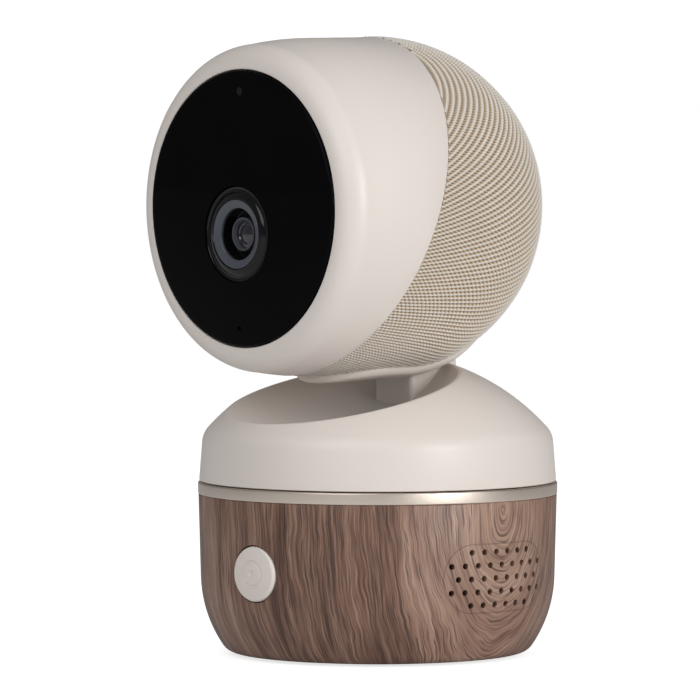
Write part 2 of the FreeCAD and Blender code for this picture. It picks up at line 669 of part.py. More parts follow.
def tube(name, inner, outer, start, end):
    """A tube about the tilt axis, from one place along X to another."""
    length = Size.of(end) - start
    return cut(name, rod(name + "_outer", outer, (start, 0, 0), length, "X"),
               [rod(name + "_inner", inner, (Size.of(start) - 1, 0, 0), length + 2, "X")])


# ----------------------------------------------------------------------------------------- head
def behind_seam(name, gap):
    """All that lies behind the leaning seam plane, moved back by a gap."""
    lean = size("seam_lean")
    low = -size("seam_ahead") + gap
    reach = 70
    rise = reach * sine(lean) / cosine(lean)
    return extruded(name, "YZ_Plane", [
        (low - rise, -reach), (90, -reach), (90, reach), (low + rise, reach)], -60, 60)


def slot_tool(name, half_width):
    """A radial slot in the head's underside: a sector with a round end at each limit."""
    front = -size("slot_front")
    rear = size("slot_rear")
    near, far = 22, 64
    sector = extruded(name + "_sector", "YZ_Plane", [
        (near * sine(front), -near * cosine(front)), (far * sine(front), -far * cosine(front)),
        (far * sine(rear), -far * cosine(rear)), (near * sine(rear), -near * cosine(rear))],
        -Size.of(half_width), half_width)
    ends = []
    for side, angle in (("front", front), ("rear", rear)):
        end = doc.addObject("Part::Cylinder", f"{name}_{side}")
        bind(end, "Radius", half_width)
        end.Height = 40
        end.Placement = FreeCAD.Placement(
            FreeCAD.Vector(), FreeCAD.Rotation(FreeCAD.Vector(1, 0, 0), 179))
        bind(end, ".Placement.Rotation.Angle", angle + 180)
        bind(end, ".Placement.Base.y", near * sine(angle))
        bind(end, ".Placement.Base.z", -near * cosine(angle))
        ends.append(end)
    return joined(name, [sector] + ends)


def rounded_back(name, inner, outer, ahead):
    """A skin about the lens axis: a half sphere behind the tilt axis, a tube ahead of it."""
    return turned(name, [
        (inner, -ahead), (outer, -ahead), (outer, 0), (0, outer, outer), (0, inner),
        (inner, 0, -Size.of(inner))], "Y")


def make_front_shell():
    """The white drum with its rounded bezel, a seat for the glass and three screw bosses."""
    radius = size("head_radius")
    rear_reach = 8.0
    rear_radius = math.sqrt(DIMENSIONS["head_radius"] ** 2 - rear_reach ** 2)
    front = size("drum_front")
    seat = size("glass_back")
    drum = turned("front_drum", [
        (rear_radius, rear_reach), (radius - 2.4, rear_reach), (radius - 2.4, -20),
        (size("drum_front_radius") - 2.4, -35), (31.2, -37.6), (31.2, -seat + 0.05),
        (size("glass_radius") + 0.2, -seat + 0.05), (size("glass_radius") + 0.2, -42.0),
        (size("drum_front_radius") - size("bezel_round"), -front - size("bezel_round"), -0.3),
        (size("drum_front_radius"), -front, size("bezel_round")),
        (size("drum_mid_radius"), -size("drum_mid"), size("drum_curve")),
        (radius, 0), ], "Y")
    spots = round_spots(34.6, 3, 90)
    bosses = rods("front_boss", 2.9, spots, -22.05, 14, "Y")
    boss_limit = turned("front_boss_limit", [
        (0, -22), (radius - 1.5, -22), (size("drum_front_radius") - 1.5, -34.5), (33, -36.5),
        (0, -36.5)], "Y")
    boss_set = shared("front_bosses", [joined("front_boss_set", bosses), boss_limit])
    threads = rods("front_thread", 1.15, spots, -21, 10, "Y")
    keep(cut("front_shell", joined("front_walls", [drum, boss_set]),
             threads + [behind_seam("front_seam", 0)]), "front_shell", "head")


def make_back():
    """The rear shell, the woven cover stretched over it and the lip around the stem's slot."""
    ahead = 34
    in_front = behind_seam("rear_keep", 0.02)
    shell = shared("rear_part", [
        rounded_back("rear_skin", size("inner_radius"), size("rear_radius"), ahead), in_front])
    keep(cut("rear_shell", shell, [slot_tool("rear_slot", size("slot_half_width"))]),
         "rear_shell", "head")
    cover = shared("cover_part", [
        rounded_back("cover_skin", size("rear_radius") + size("cover_gap"), size("head_radius"),
                     ahead), behind_seam("cover_keep", size("seam_gap"))])
    keep(cut("fabric_cover", cover, [slot_tool("cover_slot", size("lip_half_width") + 0.1)]),
         "fabric_cover", "head")
    lip = shared("lip_part", [
        rounded_back("lip_skin", size("rear_radius") + size("cover_gap"), size("lip_radius"), 28),
        slot_tool("lip_outline", size("lip_half_width"))])
    keep(cut("slot_trim", lip, [slot_tool("lip_slot", size("slot_half_width"))]),
         "slot_trim", "head")


def make_glass():
    """The black front panel, with holes for the lens, the status light and the microphone."""
    radius = size("glass_radius")
    edge = radius - 0.6
    front = size("glass_front")
    sag = DIMENSIONS["glass_curve"] - math.sqrt(
        DIMENSIONS["glass_curve"] ** 2 - (DIMENSIONS["glass_radius"] - 0.6) ** 2)
    panel = turned("glass_panel", [
        (0, -size("glass_back")), (0, -front), (edge, -front + sag, size("glass_curve")),
        (radius, -42.1), (radius, -size("glass_back"))], "Y")
    lens_hole = rod("glass_lens_hole", size("surround_radius") + 0.1,
                    (0, -35, -size("lens_drop")), 12, "Y")
    light_hole = rod("glass_light_hole", 1.1, (0, -35, size("status_height")), 12, "Y")
    sound_hole = rod("glass_sound_hole", 0.6, (0, -35, -size("microphone_depth")), 12, "Y")
    keep(cut("front_glass", panel, [lens_hole, light_hole, sound_hole]), "front_glass", "head")
    keep(rod("status_light", 1.0, (0, -37.45, size("status_height")), 5.6, "Y"),
         "status_light", "head")
    keep(rod("microphone", 1.9, (0, -37.45, -size("microphone_depth")), 2.2, "Y"),
         "microphone", "head")


def make_lens():
    """The lens from the front in: glossy surround, satin cone, barrel, front element and holder."""
    outer = size("surround_radius")
    cone_outer = size("cone_outer")
    cone_inner = size("cone_inner")
    barrel = size("barrel_radius")
    bore = size("barrel_inner")
    keep(turned("lens_surround", [
        (cone_outer + 0.05, -40.0), (outer, -40.0), (outer, -43.4), (outer - 0.4, -43.7),
        (cone_outer + 0.4, -44.25), (cone_outer + 0.05, -44.1)], "Y"), "lens_surround", "lens")
    keep(turned("lens_cone", [
        (cone_inner, -38.0), (cone_outer + 1.4, -38.0), (cone_outer + 1.4, -39.9),
        (cone_outer, -39.9), (cone_outer, -44.1), (cone_outer - 0.3, -44.1),
        (cone_inner, -43.4)], "Y"), "lens_cone", "lens")
    keep(ring("lens_barrel", bore, barrel, -41.9, -26.5, "Y"), "lens_barrel", "lens")
    keep(turned("lens_front_element", [
        (0, -38.5), (bore - 0.02, -38.5), (bore - 0.02, -41.0), (0, -41.6, -9.5)], "Y"),
        "lens_front_element", "lens")
    keep(turned("lens_holder", [
        (barrel + 0.02, -39.4), (cone_inner - 0.1, -39.4), (cone_inner - 0.1, -33.0),
        (9.0, -33.0), (9.0, -24.0), (7.4, -24.0), (7.4, -31.0), (barrel + 0.02, -31.0)], "Y"),
        "lens_holder", "lens")
    keep(block("image_sensor", (-4, 4), (-24.9, -24), (-3.2, 3.2)), "image_sensor", "lens")
    keep(block("sensor_board", (-12, 12), (-24, -22.4), (-12, 12)), "sensor_board", "lens")


def make_light_board():
    """The ring-shaped board behind the glass with its infrared lights."""
    board = ring("led_board_disc", 0, 30.6, -37.4, -36.2, "Y")
    opening = rod("led_board_opening", 10.2, (0, -34, -size("lens_drop")), 6, "Y")
    keep(cut("led_board", board, [opening]), "led_board", "head")
    spots = round_spots(size("led_circle"), 6, 0)
    keep(grouped("infrared_leds", rods("infrared_led", 2.2, spots, -37.45, 2.3, "Y")),
         "infrared_leds", "head")


def make_chassis():
    """The frame inside the head: a disc on the front shell's bosses, two cheeks and a shelf."""
    inner = size("cheek_inner")
    outer = inner + size("cheek_thick")
    back = -size("plate_back")
    disc = ring("chassis_disc", 9, 37.7, -22, back, "Y")
    cheeks = [block(f"chassis_cheek_{side}", span, (back - 0.5, 8), (-9, 24))
              for side, span in (("left", (-outer, -inner)), ("right", (inner, outer)))]
    shelf = block("chassis_shelf", (-outer, outer), (back - 0.5, 12), (22, 24))
    spots = round_spots(34.6, 3, 90)
    screw_holes = rods("chassis_hole", 1.15, spots, -15, 12, "Y")
    bush_hole = rod("chassis_bush_hole", size("bush_radius"), (-30, 0, 0), 60, "X")
    shaft_hole = rod("chassis_shaft_hole", 2.2, (10, 0, tilt_centre_distance()), 15, "X")
    keep(cut("chassis", joined("chassis_frame", [disc, shelf] + cheeks),
             screw_holes + [bush_hole, shaft_hole]), "chassis", "head")
    keep(screws("chassis_screws", 34.6, 3, 90, Size.of(-19.9), -18.4, -29, 2.2, 1.1, "Y"),
         "chassis_screws", "head")
    bushes = []
    for name, start in (("left", -outer), ("right", inner)):
        bushes.append(cut(f"bush_{name}", rod(f"bush_{name}_body", size("bush_radius") - 0.02,
                                              (start - 0.5, 0, 0), size("cheek_thick") + 1, "X"),
                          [rod(f"bush_{name}_bore", size("axle_radius") + size("running_gap"),
                               (start - 2, 0, 0), 8, "X")]))
    keep(grouped("tilt_bushes", bushes), "tilt_bushes", "head")
    keep(block("head_board", (-16, 16), (12, 13.6), (12, 28)), "head_board", "head")
    keep(block("head_shield", (-7, 7), (13.6, 15.8), (15, 26)), "head_shield", "head")
    keep(block("antenna", (-outer - 1, -outer), (-10, 6), (6, 20)), "antenna", "head")


def tilt_centre_distance():
    return (size("tilt_gear_teeth") + size("tilt_pinion_teeth")) * size("tilt_module") / 2


def make_tilt_drive():
    """A motor on the head's chassis walks its pinion around a gear that is fixed to the arm."""
    away = tilt_centre_distance()
    outer = size("cheek_inner") + size("cheek_thick")
    motor = rod("tilt_motor_can", 7, (outer, 0, away), 10.5, "X")
    bore = rod("tilt_motor_bore", 1.1, (outer - 1, 0, away), 5, "X")
    keep(cut("tilt_motor", motor, [bore]), "tilt_motor", "head")
    module = DIMENSIONS["tilt_module"]
    centre = FreeCAD.Vector(DIMENSIONS["arm_half_width"], -DIMENSIONS["tilt_ahead"],
                            DIMENSIONS["tilt_height"])
    # Turning about Y by a right angle lays a gear's axis along X and its first tooth along -Z.
    along_x = FreeCAD.Rotation(FreeCAD.Vector(0, 1, 0), 90)
    half_turn = FreeCAD.Rotation(FreeCAD.Vector(0, 0, 1), 180)
    fixed = gear_shape(int(DIMENSIONS["tilt_gear_teeth"]), module, 3.5,
                       DIMENSIONS["axle_radius"])
    shaped("tilt_gear", fixed, FreeCAD.Placement(centre, along_x.multiply(half_turn)))
    teeth = int(DIMENSIONS["tilt_pinion_teeth"])
    pinion = gear_shape(teeth, module, 3.3, 0, 0.5)
    shaft_end = DIMENSIONS["cheek_inner"] + DIMENSIONS["cheek_thick"] + 3.5
    shaft = Part.makeCylinder(1.0, shaft_end - DIMENSIONS["arm_half_width"])
    shaped("tilt_pinion", pinion.fuse(shaft), FreeCAD.Placement(
        centre + FreeCAD.Vector(0.1, 0, away.value), along_x))


# -------------------------------------------------------------------------------------- all of it
make_base_shell()
make_base_frame()
make_button()
make_speaker()
make_pan_drive()
make_turntable()
make_dome()
make_stem()
make_front_shell()
make_back()
make_glass()
make_lens()
make_light_board()
make_chassis()
make_tilt_drive()
doc.recompute()

for item in doc.Objects:
    if {"Invalid", "Error"} & set(item.State):
        raise RuntimeError(f"{item.Name} did not compute: {item.State}")
for piece in pieces:
    if piece.Shape.isNull() or not piece.Shape.isValid() or piece.Shape.Volume <= 0:
        raise RuntimeError(f"{piece.Label} has no sound shape")

os.makedirs("parts", exist_ok=True)
for piece in pieces:
    piece.Shape.exportStep(f"parts/{piece.Label}.step")
print(len(pieces), "pieces written")
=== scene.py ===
import json
import math

import bmesh
import bpy
from mathutils import Matrix, Vector


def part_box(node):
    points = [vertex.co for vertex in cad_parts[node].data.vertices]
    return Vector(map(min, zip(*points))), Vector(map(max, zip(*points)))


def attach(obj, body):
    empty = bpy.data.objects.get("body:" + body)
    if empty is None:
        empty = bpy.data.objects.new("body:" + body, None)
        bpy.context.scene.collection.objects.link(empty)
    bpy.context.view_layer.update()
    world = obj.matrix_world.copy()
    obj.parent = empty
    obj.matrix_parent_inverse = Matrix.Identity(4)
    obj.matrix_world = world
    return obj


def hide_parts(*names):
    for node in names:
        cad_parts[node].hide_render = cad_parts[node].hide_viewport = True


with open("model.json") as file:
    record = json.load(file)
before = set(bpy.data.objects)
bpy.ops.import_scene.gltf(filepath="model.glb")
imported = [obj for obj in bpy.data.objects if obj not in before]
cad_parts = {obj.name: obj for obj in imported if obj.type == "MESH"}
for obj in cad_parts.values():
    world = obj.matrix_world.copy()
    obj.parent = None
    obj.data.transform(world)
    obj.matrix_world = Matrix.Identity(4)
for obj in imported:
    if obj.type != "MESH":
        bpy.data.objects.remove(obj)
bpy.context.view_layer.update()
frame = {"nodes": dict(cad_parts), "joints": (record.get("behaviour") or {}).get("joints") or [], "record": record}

# A pan and tilt room camera: printed wood cup, metal ring, white dome and neck, and a round head
# with a gloss front and a woven back. Outlines are in millimetres and are scaled as they are made.
MM = 0.001
JOINTS = {joint["name"]: joint for joint in frame["joints"]}
HEAD = Vector(JOINTS["tilt"]["pos_m"]) / MM
press = Vector(JOINTS["button_press"]["axis"])
BASE_TURN = math.atan2(-press.x, press.y)
GRILLE_TURN = BASE_TURN + math.radians(86.5)
LENS = HEAD - Vector((0, 0, 6.1))
BUTTON_HEIGHT = 22.0
GRILLE_HEIGHT = 21.2
CUP_RADIUS = 43.9
HOLE_ROWS = (6, 9, 8, 9, 6)
HOLE_RADIUS, HOLE_PITCH, ROW_PITCH = 0.75, 3.68, 3.19


# ------------------------------------------------------------------------------ modelling helpers
def outline(corners, turn_step=7.0):
    """Points along an outline. A corner (across, up, radius) is reached by an arc of that radius,
    with its centre on the left of the way where the radius is positive."""
    points = [Vector((corners[0][0], corners[0][1]))]
    for corner in corners[1:]:
        start, end = points[-1].copy(), Vector((corner[0], corner[1]))
        if len(corner) == 3:
            radius = corner[2]
            chord = end - start
            left = Vector((-chord.y, chord.x)).normalized()
            reach = math.sqrt(max(radius ** 2 - chord.length_squared / 4, 0))
            centre = (start + end) / 2 + left * math.copysign(reach, radius)
            sweep = 2 * math.asin(min(chord.length / 2 / abs(radius), 1)) * (1 if radius > 0 else -1)
            steps = max(2, math.ceil(abs(math.degrees(sweep)) / turn_step))
            for index in range(1, steps):
                spoke = Matrix.Rotation(sweep * index / steps, 2) @ (start - centre)
                points.append(centre + spoke)
        points.append(end)
    return points


def begin(name):
    """A fresh mesh object in edit mode, holding one vertex at the origin."""
    bpy.ops.object.select_all(action="DESELECT")
    bpy.ops.mesh.primitive_plane_add(size=MM)
    piece = bpy.context.object
    piece.name = name
    piece.data.name = name
    bpy.ops.object.mode_set(mode="EDIT")
    bpy.ops.mesh.select_mode(type="VERT")
    bpy.ops.mesh.select_all(action="SELECT")
    bpy.ops.mesh.merge(type="CENTER")
    return piece


def draw_wire(points, upright=True):
    """Extrudes the selected vertex along the points: in the XZ plane, or flat in the XY plane."""
    def lifted(spot):
        return Vector((spot.x, 0, spot.y)) * MM if upright else Vector((spot.x, spot.y, 0)) * MM
    bpy.ops.transform.translate(value=lifted(points[0]))
    for before, after in zip(points, points[1:]):
        bpy.ops.mesh.extrude_region_move(
            TRANSFORM_OT_translate={"value": lifted(after) - lifted(before)})


def tidy_mesh(merge=0.00001):
    """Merges doubles, drops collapsed faces and turns the normals outwards, then leaves edit mode."""
    bpy.ops.mesh.select_all(action="SELECT")
    bpy.ops.mesh.remove_doubles(threshold=merge)
    bpy.ops.mesh.dissolve_degenerate(threshold=merge / 2)
    bpy.ops.mesh.normals_make_consistent(inside=False)
    bpy.ops.object.mode_set(mode="OBJECT")


def spun(name, corners, steps=160, turn_step=7.0):
    """A round piece about Z from an outline of (radius, height) corners."""
    piece = begin(name)
    draw_wire(outline(corners, turn_step))
    bpy.ops.mesh.select_all(action="SELECT")
    bpy.ops.mesh.spin(steps=steps, angle=2 * math.pi, center=(0, 0, 0), axis=(0, 0, 1))
    tidy_mesh()
    return piece


def facing_front(piece, centre=HEAD):
    """Lays a piece that was spun about Z along the lens axis, its top towards -Y."""
    piece.data.transform(Matrix.Translation(centre * MM) @ Matrix.Rotation(math.pi / 2, 4, "X"))
    return piece


def turned_to(piece, turn, height=0.0):
    """Turns a piece that faces -Y about the pan axis, and lifts it."""
    piece.data.transform(
        Matrix.Translation((0, 0, height * MM)) @ Matrix.Rotation(turn, 4, "Z"))
    return piece


def pick(piece):
    """Selects one piece alone and makes it the active one."""
    bpy.ops.object.select_all(action="DESELECT")
    piece.select_set(True)
    bpy.context.view_layer.objects.active = piece


def apply_modifier(piece, kind, **settings):
    """Puts a modifier with its settings on a piece and applies it."""
    pick(piece)
    modifier = piece.modifiers.new(kind.title(), kind)
    for setting, value in settings.items():
        setattr(modifier, setting, value)
    bpy.ops.object.modifier_apply(modifier=modifier.name)


def carve(piece, tool):
    """Takes a tool's solid away from a piece."""
    apply_modifier(piece, "BOOLEAN", operation="DIFFERENCE", solver="EXACT", object=tool)
    bpy.data.objects.remove(tool)


def joined(parts, name):
    """Joins pieces into the first one and names it."""
    bpy.ops.object.select_all(action="DESELECT")
    for part in parts:
        part.select_set(True)
    bpy.context.view_layer.objects.active = parts[0]
    bpy.ops.object.join()
    parts[0].name = name
    return parts[0]


def soften(piece, width, segments=2, angle=40.0):
    """Rounds the sharp edges of a piece."""
    apply_modifier(piece, "BEVEL", width=width * MM, segments=segments, limit_method="ANGLE",
                   angle_limit=math.radians(angle), use_clamp_overlap=True)


def drill(radius, spot, length, sides=32):
    """A cylinder along -Y that starts at a spot."""
    bpy.ops.object.select_all(action="DESELECT")
    middle = Vector(spot) - Vector((0, length / 2, 0))
    bpy.ops.mesh.primitive_cylinder_add(
        vertices=sides, radius=radius * MM, depth=length * MM, location=middle * MM,
        rotation=(math.pi / 2, 0, 0))
    bpy.ops.object.transform_apply(location=True, rotation=True, scale=True)
    return bpy.context.object


def finish(piece, body, finish_name, replaced=(), smooth=35.0):
    """Smooths a piece, gives it its material and slot, and lets it ride on its body."""
    pick(piece)
    bpy.ops.object.shade_smooth_by_angle(angle=math.radians(smooth))
    piece.data.materials.clear()
    piece.data.materials.append(FINISHES[finish_name])
    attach(piece, body)
    if replaced:
        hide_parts(*replaced)
    return piece


# -------------------------------------------------------------------------------- node helpers
def add_node(tree, kind, feeds=None, **settings):
    """A shader node with its settings, and each input set to a value or linked from a socket."""
    made = tree.nodes.new(kind)
    for setting, value in settings.items():
        setattr(made, setting, value)
    for name, feed in (feeds or {}).items():
        if isinstance(feed, bpy.types.NodeSocket):
            tree.links.new(feed, made.inputs[name])
        else:
            made.inputs[name].default_value = feed
    return made


def sum_up(tree, operation, first, second=0.0, third=0.0):
    """One Math node's result."""
    return add_node(tree, "ShaderNodeMath", {0: first, 1: second, 2: third},
                    operation=operation).outputs[0]


def between(tree, value, low, high, to_low=0.0, to_high=1.0):
    """A smooth step of a value from one range to another."""
    feeds = {"Value": value, "From Min": low, "From Max": high, "To Min": to_low,
             "To Max": to_high}
    return add_node(tree, "ShaderNodeMapRange", feeds,
                    interpolation_type="SMOOTHSTEP").outputs[0]


def blended(tree, share, first, second):
    """A colour between two, by a share of 0 to 1."""
    mix = add_node(tree, "ShaderNodeMix", data_type="RGBA")
    for socket, feed in zip((mix.inputs[0], mix.inputs[6], mix.inputs[7]), (share, first, second)):
        if isinstance(feed, bpy.types.NodeSocket):
            tree.links.new(feed, socket)
        else:
            socket.default_value = feed
    return mix.outputs[2]


def hypotenuse(tree, first, second):
    """The straight distance that two distances at right angles add up to."""
    return sum_up(tree, "SQRT", sum_up(
        tree, "ADD", sum_up(tree, "POWER", first, 2.0), sum_up(tree, "POWER", second, 2.0)))


def noise(tree, where, scale, detail=3.0, roughness=0.5, **settings):
    """A noise texture's value at a place."""
    feeds = {"Vector": where, "Scale": scale, "Detail": detail, "Roughness": roughness}
    return add_node(tree, "ShaderNodeTexNoise", feeds, **settings).outputs["Fac"]


def make_grain_group():
    """Fine grain for moulded and turned surfaces: a height for bump and a slow drift in tone."""
    group = bpy.data.node_groups.new("moulded_grain", "ShaderNodeTree")
    for name, start in (("Grain Scale", 900.0), ("Drift Scale", 25.0)):
        socket = group.interface.new_socket(name, in_out="INPUT", socket_type="NodeSocketFloat")
        socket.default_value = start
    for name in ("Height", "Tone"):
        group.interface.new_socket(name, in_out="OUTPUT", socket_type="NodeSocketFloat")
    given = group.nodes.new("NodeGroupInput")
    result = group.nodes.new("NodeGroupOutput")
    where = add_node(group, "ShaderNodeTexCoord").outputs["Object"]
    grain = noise(group, where, given.outputs["Grain Scale"], 2.0)
    drift = noise(group, where, given.outputs["Drift Scale"], 3.0)
    group.links.new(grain, result.inputs["Height"])
    tone = sum_up(group, "MULTIPLY_ADD", drift, 0.7, sum_up(group, "MULTIPLY", grain, 0.3))
    group.links.new(tone, result.inputs["Tone"])
    return group


GRAIN = make_grain_group()


def new_material(name):
    """A node material, its tree and its surface shader."""
    material = bpy.data.materials.new(name)
    material.use_nodes = True
    tree = material.node_tree
    return material, tree, tree.nodes["Principled BSDF"]


def set_surface(shader, **values):
    """Sets plain values on the shader's own inputs, with _ for a space in an input's name."""
    for name, value in values.items():
        shader.inputs[name.replace("_", " ")].default_value = value


def moulded(name, light, dark, rough=(0.4, 0.5), metallic=0.0, grain=900.0, drift=25.0,
            bump=0.06, depth=0.00004, coat=0.0, specular=0.5):
    """A finish with fine grain: its colour and roughness drift a little over the surface."""
    material, tree, shader = new_material(name)
    group = add_node(tree, "ShaderNodeGroup", node_tree=GRAIN)
    group.inputs["Grain Scale"].default_value = grain
    group.inputs["Drift Scale"].default_value = drift
    tone = between(tree, group.outputs["Tone"], 0.3, 0.7)
    tree.links.new(blended(tree, tone, (*dark, 1), (*light, 1)), shader.inputs["Base Color"])
    tree.links.new(between(tree, group.outputs["Tone"], 0.3, 0.7, *rough),
                   shader.inputs["Roughness"])
    raised = add_node(tree, "ShaderNodeBump", {"Strength": bump, "Distance": depth,
                                               "Height": group.outputs["Height"]})
    tree.links.new(raised.outputs["Normal"], shader.inputs["Normal"])
    set_surface(shader, Metallic=metallic, Coat_Weight=coat)
    shader.inputs["Specular IOR Level"].default_value = specular
    return material


# ------------------------------------------------------------------------------------- finishes
PORE_BROWN = (0.062, 0.034, 0.027, 1)


def wood_print():
    """Printed walnut: nested arches that open upwards around the grille, straight grain elsewhere."""
    material, tree, shader = new_material("wood_print")
    where = add_node(tree, "ShaderNodeTexCoord").outputs["Object"]
    parts = add_node(tree, "ShaderNodeSeparateXYZ", {"Vector": where})
    side, depth, height = (parts.outputs[axis] for axis in "XYZ")
    # The angle from the grille's middle, and how far that is around the cup.
    along = Vector((math.sin(GRILLE_TURN), -math.cos(GRILLE_TURN)))
    across = Vector((-along.y, along.x))
    ahead = sum_up(tree, "ADD", sum_up(tree, "MULTIPLY", side, along.x),
                   sum_up(tree, "MULTIPLY", depth, along.y))
    beside = sum_up(tree, "ADD", sum_up(tree, "MULTIPLY", side, across.x),
                    sum_up(tree, "MULTIPLY", depth, across.y))
    around = sum_up(tree, "MULTIPLY", sum_up(tree, "ARCTAN2", beside, ahead), 0.0436)
    warp = noise(tree, where, 26.0, 2.0)
    # The arches are centred near the cup's rim and reach further down than sideways.
    drop = sum_up(tree, "MULTIPLY", sum_up(tree, "SUBTRACT", 0.0375, height), 0.55)
    reach = hypotenuse(tree, around, drop)
    ripple = noise(tree, where, 190.0, 1.0)
    rings = sum_up(tree, "MULTIPLY_ADD", warp, 0.007, sum_up(
        tree, "MULTIPLY_ADD", ripple, 0.0013, reach))

    def streaks(fineness, length, detail, offset):
        """Noise that is fine across the growth rings and long along them."""
        stretched = add_node(tree, "ShaderNodeVectorMath", {0: where, "Scale": length},
                             operation="SCALE").outputs[0]
        feeds = {"Vector": stretched, "Scale": 1.0, "Detail": detail, "Roughness": 0.55,
                 "W": sum_up(tree, "MULTIPLY_ADD", rings, fineness, offset)}
        return add_node(tree, "ShaderNodeTexNoise", feeds, noise_dimensions="4D").outputs["Fac"]

    bands = streaks(170.0, 12.0, 2.0, 3.0)
    fibres = streaks(2100.0, 60.0, 2.0, 11.0)
    threads = streaks(4300.0, 120.0, 2.0, 37.0)
    vessels = streaks(2700.0, 105.0, 1.0, 23.0)
    tone = sum_up(tree, "ADD", sum_up(tree, "MULTIPLY", bands, 0.34), sum_up(
        tree, "ADD", sum_up(tree, "MULTIPLY", fibres, 0.36), sum_up(tree, "MULTIPLY", threads, 0.3)))
    # The cup is lighter around the grille, and darkest a third of the way round from it.
    near = between(tree, reach, 0.008, 0.036, 0.045, -0.05)
    far = between(tree, reach, 0.038, 0.07, 0.0, 0.025)
    tone = sum_up(tree, "ADD", tone, sum_up(tree, "ADD", near, far))
    ramp = add_node(tree, "ShaderNodeValToRGB", {"Fac": tone})
    stops = ((0.36, (0.078, 0.037, 0.025)), (0.45, (0.20, 0.108, 0.076)),
             (0.53, (0.31, 0.188, 0.138)), (0.64, (0.46, 0.315, 0.24)))
    for stop, (place, colour) in zip((0, 1, None, None), stops):
        element = ramp.color_ramp.elements[stop] if stop is not None else \
            ramp.color_ramp.elements.new(place)
        element.position = place
        element.color = (*colour, 1)
    pores = sum_up(tree, "MULTIPLY", between(tree, vessels, 0.34, 0.44, 1.0, 0.0), 0.7)
    colour = blended(tree, pores, ramp.outputs["Color"], PORE_BROWN)
    tree.links.new(between(tree, tone, 0.35, 0.65, 0.46, 0.36), shader.inputs["Roughness"])
    # A faint line is pressed into the print around the grille.
    straight = sum_up(tree, "MAXIMUM", sum_up(tree, "SUBTRACT", sum_up(
        tree, "ABSOLUTE", around), 0.0085), 0.0)
    level = sum_up(tree, "SUBTRACT", height, GRILLE_HEIGHT * MM)
    away = hypotenuse(tree, straight, level)
    off_line = sum_up(tree, "ABSOLUTE", sum_up(tree, "SUBTRACT", away, 0.0083))
    pressed = between(tree, off_line, 0.00008, 0.0003, 1.0, 0.0)
    relief = sum_up(tree, "SUBTRACT", fibres, sum_up(
        tree, "MULTIPLY_ADD", pores, 0.5, sum_up(tree, "MULTIPLY", pressed, 1.6)))
    colour = blended(tree, sum_up(tree, "MULTIPLY", pressed, 0.35), colour, PORE_BROWN)
    tree.links.new(colour, shader.inputs["Base Color"])
    raised = add_node(tree, "ShaderNodeBump",
                      {"Strength": 0.3, "Distance": 0.0001, "Height": relief})
    tree.links.new(raised.outputs["Normal"], shader.inputs["Normal"])
    return material


def woven_yarn():
    """Off-white ribs of yarn with tan channels between them, and painted shade in the hole of every cell."""
    material, tree, shader = new_material("woven_yarn")
    parts = add_node(tree, "ShaderNodeSeparateXYZ",
                     {"Vector": add_node(tree, "ShaderNodeUVMap", uv_map="weave").outputs["UV"]})
    cell_u, cell_v = parts.outputs["X"], parts.outputs["Y"]

    def swing(value, turns, phase=0.0):
        angle = sum_up(tree, "MULTIPLY_ADD", value, 2 * math.pi * turns, phase)
        return sum_up(tree, "MULTIPLY_ADD", sum_up(tree, "COSINE", angle), 0.5, 0.5)

    rib = swing(cell_u, 1.0)
    bead = swing(sum_up(tree, "MULTIPLY_ADD", cell_u, 0.5, cell_v), 1.0)
    channel = sum_up(tree, "SUBTRACT", 1.0, rib)
    hole_shade_mask = sum_up(tree, "MULTIPLY", channel, sum_up(tree, "SUBTRACT", 1.0, bead))
    where = add_node(tree, "ShaderNodeTexCoord").outputs["Object"]
    mottle = noise(tree, where, 700.0, 2.0)
    slow = noise(tree, where, 60.0, 2.0)
    strand_angle = sum_up(tree, "ADD", sum_up(tree, "MULTIPLY", cell_v, 5.0),
                          sum_up(tree, "MULTIPLY", cell_u, 3.0))
    strands = swing(strand_angle, 1.0)
    yarn = blended(tree, strands, (0.76, 0.72, 0.66, 1), (0.95, 0.93, 0.89, 1))
    yarn = blended(tree, between(tree, slow, 0.35, 0.65, 0.0, 0.25), yarn, (0.76, 0.72, 0.66, 1))
    tan = blended(tree, mottle, (0.52, 0.375, 0.235, 1), (0.72, 0.57, 0.40, 1))
    edge = sum_up(tree, "MULTIPLY_ADD", bead, -0.54, channel)
    tinted = blended(tree, between(tree, edge, -0.13, 0.26), yarn, tan)
    # Painted shade: each cell's opening is coloured dark brown to stand in for the depth of the hole.
    yarn_with_hole_shade = blended(tree, between(tree, hole_shade_mask, 0.40, 0.85), tinted, (0.14, 0.08, 0.043, 1))
    tree.links.new(yarn_with_hole_shade, shader.inputs["Base Color"])
    height = sum_up(tree, "ADD", sum_up(tree, "MULTIPLY", rib, 0.55), sum_up(
        tree, "MULTIPLY_ADD", bead, 0.25, sum_up(tree, "MULTIPLY", strands, 0.14)))
    raised = add_node(tree, "ShaderNodeBump",
                      {"Strength": 0.9, "Distance": 0.0004, "Height": height})
    tree.links.new(raised.outputs["Normal"], shader.inputs["Normal"])
    set_surface(shader, Roughness=0.78, Sheen_Weight=0.25, Sheen_Roughness=0.5)
    return material


def clear_glass():
    """Coated lens glass with a faint violet cast."""
    material, tree, shader = new_material("lens_glass")
    where = add_node(tree, "ShaderNodeTexCoord").outputs["Object"]
    cast = between(tree, noise(tree, where, 120.0, 1.0), 0.3, 0.7)
    tree.links.new(blended(tree, cast, (0.010, 0.010, 0.017, 1), (0.022, 0.017, 0.026, 1)),
                   shader.inputs["Base Color"])
    set_surface(shader, Roughness=0.03, Coat_Weight=1.0, Coat_Roughness=0.02)
    shader.inputs["Specular IOR Level"].default_value = 0.6
    return material


